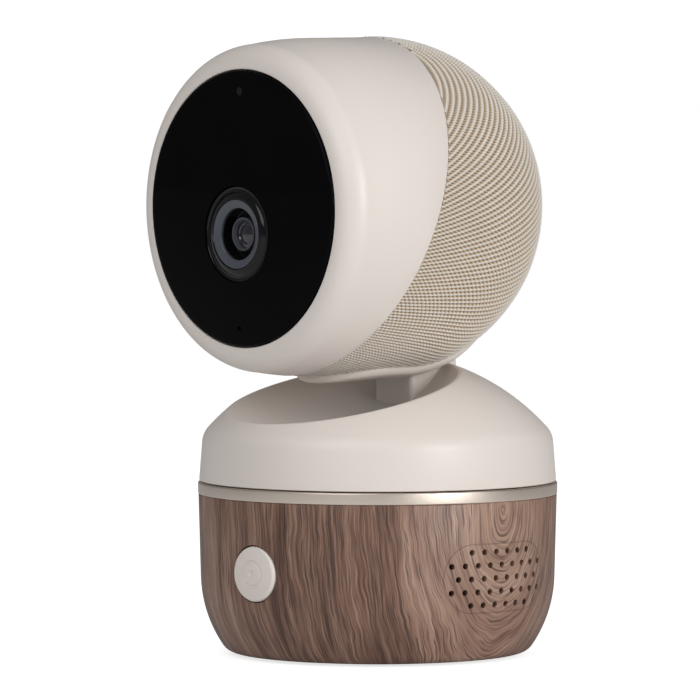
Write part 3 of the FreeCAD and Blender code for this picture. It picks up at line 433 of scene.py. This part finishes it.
FINISHES = {
    "wood_finish": wood_print(),
    "woven_cover": woven_yarn(),
    "lens_glass": clear_glass(),
    "ring_metal": moulded("blasted_champagne", (0.90, 0.80, 0.71), (0.80, 0.705, 0.62), (0.3, 0.4),
                          1.0, grain=3800.0, bump=0.5, depth=0.00005),
    "white_shell": moulded("warm_white_satin", (0.80, 0.735, 0.69), (0.785, 0.72, 0.675),
                           (0.36, 0.43), grain=2600.0, bump=0.07, depth=0.00003, specular=0.45),
    "black_glass": moulded("black_gloss_panel", (0.0035, 0.0035, 0.0042), (0.0025, 0.0025, 0.003),
                           (0.03, 0.05), grain=60.0, bump=0.004, depth=0.00001, specular=0.03),
    "lens_black": moulded("lens_gloss_black", (0.006, 0.006, 0.008), (0.004, 0.004, 0.005),
                          (0.1, 0.16), grain=500.0, bump=0.02, specular=0.35),
    "lens_grey": moulded("lens_satin_grey", (0.09, 0.10, 0.12), (0.065, 0.073, 0.09),
                         (0.28, 0.36), grain=1800.0, bump=0.12),
    "rubber_black": moulded("soft_rubber", (0.030, 0.030, 0.031), (0.018, 0.018, 0.019),
                            (0.75, 0.85), grain=1500.0, bump=0.3),
    "board_green": moulded("solder_mask", (0.020, 0.105, 0.045), (0.013, 0.075, 0.033),
                           (0.3, 0.42), grain=1200.0, bump=0.12),
    "dark_plastic": moulded("charcoal_plastic", (0.050, 0.050, 0.053), (0.036, 0.036, 0.039),
                            (0.45, 0.58), grain=1400.0, bump=0.25),
    "gear_plastic": moulded("acetal", (0.70, 0.68, 0.62), (0.64, 0.62, 0.56), (0.34, 0.44),
                            grain=900.0, bump=0.1),
    "steel": moulded("zinc_plate", (0.55, 0.55, 0.56), (0.44, 0.44, 0.455), (0.26, 0.4), 1.0,
                     grain=2200.0, bump=0.15),
    "brass": moulded("turned_brass", (0.62, 0.45, 0.20), (0.52, 0.37, 0.155), (0.22, 0.34), 1.0,
                     grain=2000.0, bump=0.12),
    "speaker_fabric": moulded("acoustic_mesh", (0.014, 0.012, 0.011), (0.006, 0.005, 0.005),
                              (0.85, 0.95), grain=3200.0, bump=0.7, depth=0.0001),
}


# ----------------------------------------------------------------------------------------- base
def make_base():
    """The cup with its rounded heel, pierced by the button, the grille and the power socket."""
    cup = spun("base_cup", [
        (32.1, 0.6), (34.6, 0.6), (38.0, 2.4, 4.1), (43.35, 19.0, 31.0), (43.88, 39.15),
        (43.62, 39.38, 0.3), (41.7, 39.38), (41.15, 19.0), (36.4, 4.0, -31.0), (30.1, 4.0),
        (30.1, 2.65), (32.1, 2.65), (32.1, 0.6)], steps=240, turn_step=3.0)
    holes = []
    pitch = HOLE_PITCH / CUP_RADIUS
    for row, count in enumerate(HOLE_ROWS):
        for index in range(count):
            hole = drill(HOLE_RADIUS, (0, -36, 0), 12, 20)
            turn = GRILLE_TURN + (index - (count - 1) / 2) * pitch
            holes.append(turned_to(hole, turn, GRILLE_HEIGHT + (2 - row) * ROW_PITCH))
    carve(cup, joined(holes, "grille_drills"))
    carve(cup, turned_to(drill(7.0, (0, -36, 0), 12, 96), BASE_TURN, BUTTON_HEIGHT))
    low, high = (Vector(corner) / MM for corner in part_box("usb_socket"))
    bpy.ops.object.select_all(action="DESELECT")
    bpy.ops.mesh.primitive_cube_add(size=MM)
    port = bpy.context.object
    port.data.transform(Matrix.Diagonal((9.8, 8.0, 3.9, 1)))
    soften(port, 1.7, 6)
    port.data.transform(Matrix.Translation((0, 42.0 * MM, (low.z + high.z) / 2 * MM)))
    carve(cup, turned_to(port, BASE_TURN))
    finish(cup, "base", "wood_finish", ["base_shell"], 30)


def make_ring():
    """The metal band between the cup and the dome, with small rounded edges."""
    band = spun("metal_band", [
        (36.4, 39.42), (43.72, 39.42), (44.0, 39.7, 0.3), (44.0, 41.95), (43.65, 42.3, 0.35),
        (36.4, 42.3), (36.4, 39.42)], steps=240)
    finish(band, "base", "ring_metal", ["trim_ring"])


def make_button():
    """A domed push button with a plain engraved ring around a dot."""
    groove = 0.22
    cap = spun("button_dome", [
        (0, 39.1), (1.5, 39.1), (1.5, 39.8), (7.75, 39.8), (7.75, 40.2), (6.7, 40.2), (6.7, 43.0),
        (6.02, 43.74, 0.75), (3.35, 44.06, 41), (3.2, 44.06 - groove), (2.75, 44.10 - groove),
        (2.6, 44.11), (0.95, 44.18, 60), (0.85, 44.18 - groove), (0, 44.20 - groove)],
        steps=96)
    facing_front(cap, Vector((0, 0, 0)))
    finish(turned_to(cap, BASE_TURN, BUTTON_HEIGHT), "button", "white_shell", ["button_cap"])


# --------------------------------------------------------------------------------------- turret
DOME_CENTRE = Vector((0, 0, 18.0))
DISH_CENTRE = Vector((0, -19.95, 101.3))
DOME_RADIUS = 56.0
DISH_RADIUS = 47.2
RIM_ROUND = 1.3


def make_dome():
    """A level wall and shoulder, a dish with a rounded rim about a leaning axis, and the part of
    the sphere between them."""
    seam = 41.2
    seam_height = DOME_CENTRE.z + math.sqrt(DOME_RADIUS ** 2 - seam ** 2)
    steps = 200
    wall = spun("dome_wall", [(41.6, 42.6), (43.45, 42.6), (43.7, 42.85, 0.3), (43.0, 52.0),
                              (seam, seam_height, 6.0)], steps=steps, turn_step=4.0)
    # In the leaning frame the dome's centre is the origin and the dish's centre is straight up.
    lean = DISH_CENTRE - DOME_CENTRE
    apart = lean.length
    inner, outer = DOME_RADIUS - RIM_ROUND, DISH_RADIUS + RIM_ROUND
    rise = (apart ** 2 + inner ** 2 - outer ** 2) / (2 * apart)
    radius = math.sqrt(inner ** 2 - rise ** 2)
    on_dome = Vector((radius, rise)) * (DOME_RADIUS / inner)
    on_dish = Vector((0, apart)) + (Vector((radius, rise)) - Vector((0, apart))) * (
        DISH_RADIUS / outer)
    dish = spun("dish", [(on_dome.x, on_dome.y), (on_dish.x, on_dish.y, RIM_ROUND),
                         (0, apart - DISH_RADIUS, -DISH_RADIUS)], steps=steps, turn_step=2.5)
    tilt = math.atan2(-lean.y, lean.z)
    dish.data.transform(Matrix.Translation(DOME_CENTRE * MM) @ Matrix.Rotation(tilt, 4, "X"))
    dome = joined([wall, dish], "dome")
    bpy.ops.object.mode_set(mode="EDIT")
    bpy.ops.mesh.select_all(action="DESELECT")
    bpy.ops.mesh.select_mode(type="EDGE")
    mesh = bmesh.from_edit_mesh(dome.data)
    for edge in mesh.edges:
        high = sum(vertex.co.z for vertex in edge.verts) / 2 > 43 * MM
        edge.select_set(edge.is_boundary and high)
    bmesh.update_edit_mesh(dome.data)
    bpy.ops.mesh.bridge_edge_loops(number_cuts=14, interpolation="LINEAR")
    mesh = bmesh.from_edit_mesh(dome.data)
    for vertex in mesh.verts:
        if vertex.select:
            spoke = vertex.co - DOME_CENTRE * MM
            vertex.co = DOME_CENTRE * MM + spoke.normalized() * DOME_RADIUS * MM
    bmesh.update_edit_mesh(dome.data)
    tidy_mesh()
    apply_modifier(dome, "SOLIDIFY", thickness=1.2 * MM, offset=-1.0)
    finish(dome, "turret", "white_shell", ["dome_shell"], 50)


def make_stem():
    """The neck: a rounded block with a faint parting line down its front."""
    half, front, back = 6.9, 4.7, 20.4
    corner, crown = 1.3, 0.35
    contour = outline([
        (0, front), (half - corner, front + crown), (half, front + crown + corner, corner),
        (half, back - corner), (half - corner, back, corner), (corner - half, back),
        (-half, back - corner, corner), (-half, front + crown + corner),
        (corner - half, front + crown, corner), (0, front)])
    stem = begin("neck")
    draw_wire(contour, upright=False)
    bpy.ops.mesh.select_all(action="SELECT")
    bpy.ops.mesh.remove_doubles(threshold=0.00001)
    bpy.ops.mesh.edge_face_add()
    low, high = (place.z for place in map(Vector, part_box("stem_shell")))
    bpy.ops.transform.translate(value=(0, 0, low))
    bpy.ops.mesh.extrude_region_move(
        TRANSFORM_OT_translate={"value": (0, 0, high - low)})
    tidy_mesh()
    finish(stem, "turret", "white_shell", ["stem_shell"], 8)


# ----------------------------------------------------------------------------------------- head
HEAD_RADIUS = 41.2
SEAM_LEAN = math.radians(18.6)
SEAM_AHEAD = 15.15
SEAM_NORMAL = Vector((0, math.cos(SEAM_LEAN), -math.sin(SEAM_LEAN)))
SLOT_FRONT, SLOT_REAR = math.radians(-8.9), math.radians(66.9)
LIP_FALL = (20.0, 48.0, 0.75)


def cut_at_seam(piece, gap, keep_front, bridge=True):
    """Cuts a piece with the leaning seam plane and closes the cut between its two skins."""
    pick(piece)
    bpy.ops.object.mode_set(mode="EDIT")
    bpy.ops.mesh.select_all(action="SELECT")
    spot = (HEAD + Vector((0, -SEAM_AHEAD + gap, 0))) * MM
    bpy.ops.mesh.bisect(plane_co=spot, plane_no=SEAM_NORMAL, clear_outer=keep_front,
                        clear_inner=not keep_front)
    if bridge:
        bpy.ops.mesh.select_mode(type="EDGE")
        bpy.ops.mesh.bridge_edge_loops()
    tidy_mesh()


def make_front():
    """The white drum: near-cylindrical side, full round bezel and a seat for the panel."""
    rear = -8.0
    drum = spun("front_drum", [
        (math.sqrt(HEAD_RADIUS ** 2 - rear ** 2), rear), (HEAD_RADIUS, 0, HEAD_RADIUS),
        (41.0, 20.0), (39.6, 36.2, 95.0), (33.7, 42.2, 6.0), (33.42, 41.9, 0.3), (33.42, 39.9),
        (31.2, 39.9), (31.2, 37.6), (37.0, 35.0), (38.8, 20.0), (38.8, rear)],
        steps=240, turn_step=3.0)
    facing_front(drum)
    cut_at_seam(drum, 0.0, True)
    soften(drum, 0.15, 2, 50)
    finish(drum, "head", "white_shell", ["front_shell"], 40)


def make_panel():
    """The black front panel, slightly domed, with holes for the lens, light and microphone."""
    curve = 333.0
    panel = spun("front_panel", [
        (0, 39.95), (33.2, 39.95), (33.2, 42.15), (32.7, 42.72, 0.8), (0, 44.35, curve)],
        steps=240, turn_step=0.18)
    facing_front(panel)
    low_lens = LENS - HEAD
    for radius, height, sides in ((11.62, low_lens.z, 128), (1.05, 28.1, 32), (0.6, -28.7, 24)):
        tool = drill(radius, (HEAD.x, HEAD.y - 35, HEAD.z + height), 12, sides)
        carve(panel, tool)
    finish(panel, "head", "black_glass", ["front_glass"], 25)


def make_lens():
    """The lens from the front in: gloss surround, grey cone, stepped barrel and front element."""
    surround = spun("lens_gloss_ring", [
        (8.35, 40.0), (11.5, 40.0), (11.5, 43.42), (11.3, 43.68, 0.3), (10.6, 43.5, -0.9),
        (9.9, 43.8, -0.9), (8.75, 44.28, 3.0), (8.45, 44.3, 0.3), (8.35, 44.1), (8.35, 40.0)],
        steps=128)
    finish(facing_front(surround, LENS), "head", "lens_black", ["lens_surround"], 40)
    cone = spun("lens_grey_cone", [
        (6.25, 42.95), (8.3, 42.95), (8.3, 44.1), (8.05, 44.2, 0.2), (6.5, 43.55),
        (6.25, 43.3, 0.35), (6.25, 42.95)], steps=128)
    finish(facing_front(cone, LENS), "head", "lens_grey", ["lens_cone"])
    barrel = spun("lens_tube", [
        (3.35, 26.5), (4.0, 26.5), (4.0, 41.8), (3.9, 41.95, 0.12), (3.72, 41.9), (3.35, 41.2),
        (3.35, 26.5)], steps=96)
    finish(facing_front(barrel, LENS), "head", "lens_grey", ["lens_barrel"])
    element = spun("lens_front_glass", [
        (0, 38.5), (3.31, 38.5), (3.31, 40.9), (2.55, 41.0), (2.3, 40.85), (0, 41.5, 5.0)],
        steps=96, turn_step=3.0)
    finish(facing_front(element, LENS), "head", "lens_glass", ["lens_front_element"])
    well = spun("lens_well", [
        (4.03, 31.0), (7.4, 31.0), (7.4, 24.0), (9.0, 24.0), (9.0, 33.0), (8.2, 33.0),
        (8.2, 42.9), (6.35, 42.9), (6.2, 42.7), (6.15, 39.7), (5.85, 39.4, -0.3), (4.03, 39.4),
        (4.03, 31.0)], steps=96)
    finish(facing_front(well, LENS), "head", "lens_black", ["lens_holder"])


def on_head(aside, slant, ahead, lift):
    """A point over the head's underside: aside along X and ahead across a ray at a slant."""
    radius = HEAD_RADIUS + lift
    along_ray = math.sqrt(max(radius ** 2 - aside ** 2 - ahead ** 2, 0))
    behind = along_ray * math.sin(slant) + ahead * math.cos(slant)
    if behind < 0:
        drop = math.sqrt(radius ** 2 - aside ** 2)
        along_ray = (drop + ahead * math.sin(slant)) / math.cos(slant)
        behind = along_ray * math.sin(slant) + ahead * math.cos(slant)
    return HEAD + Vector((aside, behind, -along_ray * math.cos(slant) + ahead * math.sin(slant)))


def make_lip():
    """The white lip around the neck's slot: a ring of one rounded section, laid on the head."""
    section = outline([
        (8.05, -2.6), (8.05, 0.7), (8.8, 1.5, -0.8), (12.6, 1.5), (13.95, 0.25, -1.5),
        (13.95, -0.9), (8.05, -2.6)], 18)[:-1]
    round_steps, side_steps = 20, 44
    route = [(SLOT_FRONT, -math.pi * index / round_steps) for index in range(round_steps)]
    route += [(SLOT_FRONT + (SLOT_REAR - SLOT_FRONT) * index / side_steps, -math.pi)
              for index in range(side_steps)]
    route += [(SLOT_REAR, -math.pi - math.pi * index / round_steps) for index in range(round_steps)]
    route += [(SLOT_REAR + (SLOT_FRONT - SLOT_REAR) * index / side_steps, 0)
              for index in range(side_steps)]
    bpy.ops.object.select_all(action="DESELECT")
    bpy.ops.mesh.primitive_torus_add(
        major_segments=len(route), minor_segments=len(section), major_radius=20 * MM,
        minor_radius=3 * MM)
    lip = bpy.context.object
    lip.name = "slot_lip"
    for index, vertex in enumerate(lip.data.vertices):
        slant, heading = route[index // len(section)]
        offset, lift = section[index % len(section)]
        place = slant - offset * math.sin(heading) / HEAD_RADIUS
        fall = min(max((math.degrees(place) - LIP_FALL[0]) / (LIP_FALL[1] - LIP_FALL[0]), 0), 1)
        lift *= 1 - LIP_FALL[2] * fall * fall * (3 - 2 * fall) * (lift > 0)
        spot = on_head(offset * math.cos(heading), slant, offset * math.sin(heading), lift)
        vertex.co = spot * MM
    bpy.ops.object.mode_set(mode="EDIT")
    tidy_mesh()
    finish(lip, "head", "white_shell", ["slot_trim"], 60)


RIB_PITCH, STITCH_PITCH = 1.85, 1.3
RIB_STEPS, STITCH_STEPS = 4, 2
WEAVE_TURN = math.radians(60.0)
WEAVE_FLOOR = 40.72
RIB_RISE, STITCH_RISE, CROSS_RISE = 0.52, 0.26, 0.2
TUBE_TAPER, TAPER_SPAN = 0.35, 20
COVER_SPARE = 31
UNDER_LIP = 12.6


def weave_height(cell_u, cell_v):
    """The yarn's height over the shell: a rib along every whole cell_u, its stitches staggered."""
    rib = 0.5 + 0.5 * math.cos(2 * math.pi * cell_u)
    stitch = 0.5 + 0.5 * math.cos(2 * math.pi * (cell_v + 0.5 * cell_u))
    return (WEAVE_FLOOR + RIB_RISE * rib + STITCH_RISE * stitch * rib
            + CROSS_RISE * (1 - rib) * stitch)


def make_cover():
    """The woven back: a flat lattice of yarn laid over a half sphere and the tube ahead of it."""
    quarter = HEAD_RADIUS * math.pi / 2
    span = quarter + COVER_SPARE
    ribs, stitches = math.ceil(span / RIB_PITCH), math.ceil(span / STITCH_PITCH)
    bpy.ops.object.select_all(action="DESELECT")
    bpy.ops.mesh.primitive_grid_add(
        x_subdivisions=2 * ribs * RIB_STEPS, y_subdivisions=2 * stitches * STITCH_STEPS, size=2)
    cover = bpy.context.object
    cover.data.transform(Matrix.Diagonal((ribs, stitches, 1, 1)))
    cover.name = "woven_back"
    cover.data.name = "woven_back"
    cover.data.uv_layers[0].name = "weave"
    for loop in cover.data.loops:
        cell = cover.data.vertices[loop.vertex_index].co
        cover.data.uv_layers["weave"].data[loop.index].uv = (cell.x, cell.y)
    mesh = bmesh.new()
    mesh.from_mesh(cover.data)
    spare = []
    for vertex in mesh.verts:
        cell_u, cell_v = vertex.co.x, vertex.co.y
        flat = Vector((cell_u * RIB_PITCH, cell_v * STITCH_PITCH))
        reach = flat.length
        bearing = math.atan2(flat.y, flat.x) + WEAVE_TURN
        ahead = max(reach - quarter, 0)
        radius = weave_height(cell_u, cell_v) - TUBE_TAPER * (ahead / TAPER_SPAN) ** 3
        bend = min(reach / HEAD_RADIUS, math.pi / 2)
        behind = radius * math.cos(bend) - ahead
        spot = Vector((radius * math.sin(bend) * math.cos(bearing), behind,
                       radius * math.sin(bend) * math.sin(bearing)))
        vertex.co = (HEAD + spot) * MM
        if (spot - Vector((0, -SEAM_AHEAD, 0))).dot(SEAM_NORMAL) < -1 or under_lip(spot):
            spare.append(vertex)
    bmesh.ops.delete(mesh, geom=spare, context="VERTS")
    mesh.to_mesh(cover.data)
    mesh.free()
    cut_at_seam(cover, -0.05, False, bridge=False)
    finish(cover, "head", "woven_cover", ["fabric_cover"], 180)


def under_lip(spot):
    """Whether a place on the head, from its centre, is well inside the lip's outer edge."""
    slant = math.atan2(spot.y, -spot.z)
    near = min(max(slant, SLOT_FRONT), SLOT_REAR)
    if spot.z > 0 and spot.y < 20:
        return False
    ray = Vector((0, math.sin(near), -math.cos(near)))
    offset = spot - ray * spot.dot(ray)
    return spot.dot(ray) > 0 and offset.length < UNDER_LIP


# ------------------------------------------------------------------------------------ the build
for entry in frame["record"]["subparts"]:
    node = frame["nodes"][entry["node"]]
    node.data.materials.clear()
    node.data.materials.append(FINISHES[entry["material_slot"]])

make_base()
make_ring()
make_button()
make_dome()
make_stem()
make_front()
make_panel()
make_lens()
make_lip()
make_cover()


# ------------------------------------------------------------------------------ floor and light
def make_stage():
    """A wide pale floor that the camera sees as plain white."""
    material, tree, shader = new_material("pale_floor")
    set_surface(shader, Roughness=0.6)
    shader.inputs["Base Color"].default_value = (0.86, 0.86, 0.86, 1)
    bpy.ops.object.select_all(action="DESELECT")
    bpy.ops.mesh.primitive_plane_add(size=30, location=(0, 0, -0.00005))
    floor = bpy.context.object
    floor.name = "floor"
    floor.data.materials.append(material)
    seen = add_node(tree, "ShaderNodeLightPath").outputs["Is Camera Ray"]
    tree.links.new(sum_up(tree, "MULTIPLY", seen, 0.75), shader.inputs["Emission Strength"])
    set_surface(shader, Emission_Color=(1, 1, 1, 1))


def add_light(name, azimuth, elevation, distance, size, power, colour=(1, 1, 1)):
    """A square soft light that looks at the camera's middle from an azimuth, as the views count."""
    turn, rise = math.radians(azimuth), math.radians(elevation)
    aim = Vector((0, 0, 0.08))
    spot = aim + distance * Vector((math.sin(turn) * math.cos(rise),
                                    -math.cos(turn) * math.cos(rise), math.sin(rise)))
    light = bpy.data.lights.new(name, "AREA")
    light.size = size
    light.energy = power
    light.color = colour
    lamp = bpy.data.objects.new(name, light)
    lamp.location = spot
    lamp.rotation_euler = (aim - spot).to_track_quat("-Z", "Y").to_euler()
    bpy.context.scene.collection.objects.link(lamp)


CAMERA_GLOW, GLOSS_DIMMING, WORLD_GLOW = 0.8, -0.16, 0.33


def make_light():
    """A warm key low at one side, a broad fill, a weak light overhead and an even glow."""
    add_light("key", 92, 14, 1.35, 0.5, 8.0, (1.0, 0.985, 0.965))
    add_light("fill", 20, 32, 1.35, 0.8, 4.6)
    add_light("top", 60, 80, 1.2, 0.8, 0.7)
    world = bpy.data.worlds.new("studio")
    bpy.context.scene.world = world
    world.use_nodes = True
    tree = world.node_tree
    seen = add_node(tree, "ShaderNodeLightPath").outputs["Is Camera Ray"]
    background = tree.nodes["Background"]
    background.inputs["Color"].default_value = (1, 1, 1, 1)
    mirrored = add_node(tree, "ShaderNodeLightPath").outputs["Is Glossy Ray"]
    glow = sum_up(tree, "MULTIPLY_ADD", mirrored, GLOSS_DIMMING, WORLD_GLOW)
    strength = sum_up(tree, "MULTIPLY_ADD", seen, CAMERA_GLOW, glow)
    tree.links.new(strength, background.inputs["Strength"])
    bpy.context.scene.view_settings.view_transform = "Standard"


def make_camera():
    """A long lens at 48 degrees from the front, a little above the head's middle."""
    azimuth = math.radians(48.0)
    distance, height = 1.504, 0.1451
    aim_aside, aim_height = 0.00677, 0.0744
    spot = Vector((math.sin(azimuth) * distance, -math.cos(azimuth) * distance, height))
    aim = Vector((-math.cos(azimuth) * aim_aside, -math.sin(azimuth) * aim_aside, aim_height))
    lens = bpy.data.cameras.new("view")
    lens.sensor_width = 36
    lens.lens = 316.3
    lens.clip_end = 100
    camera = bpy.data.objects.new("view", lens)
    camera.location = spot
    camera.rotation_euler = (aim - spot).to_track_quat("-Z", "Y").to_euler()
    bpy.context.scene.collection.objects.link(camera)
    bpy.context.scene.camera = camera


make_stage()
make_light()
make_camera()
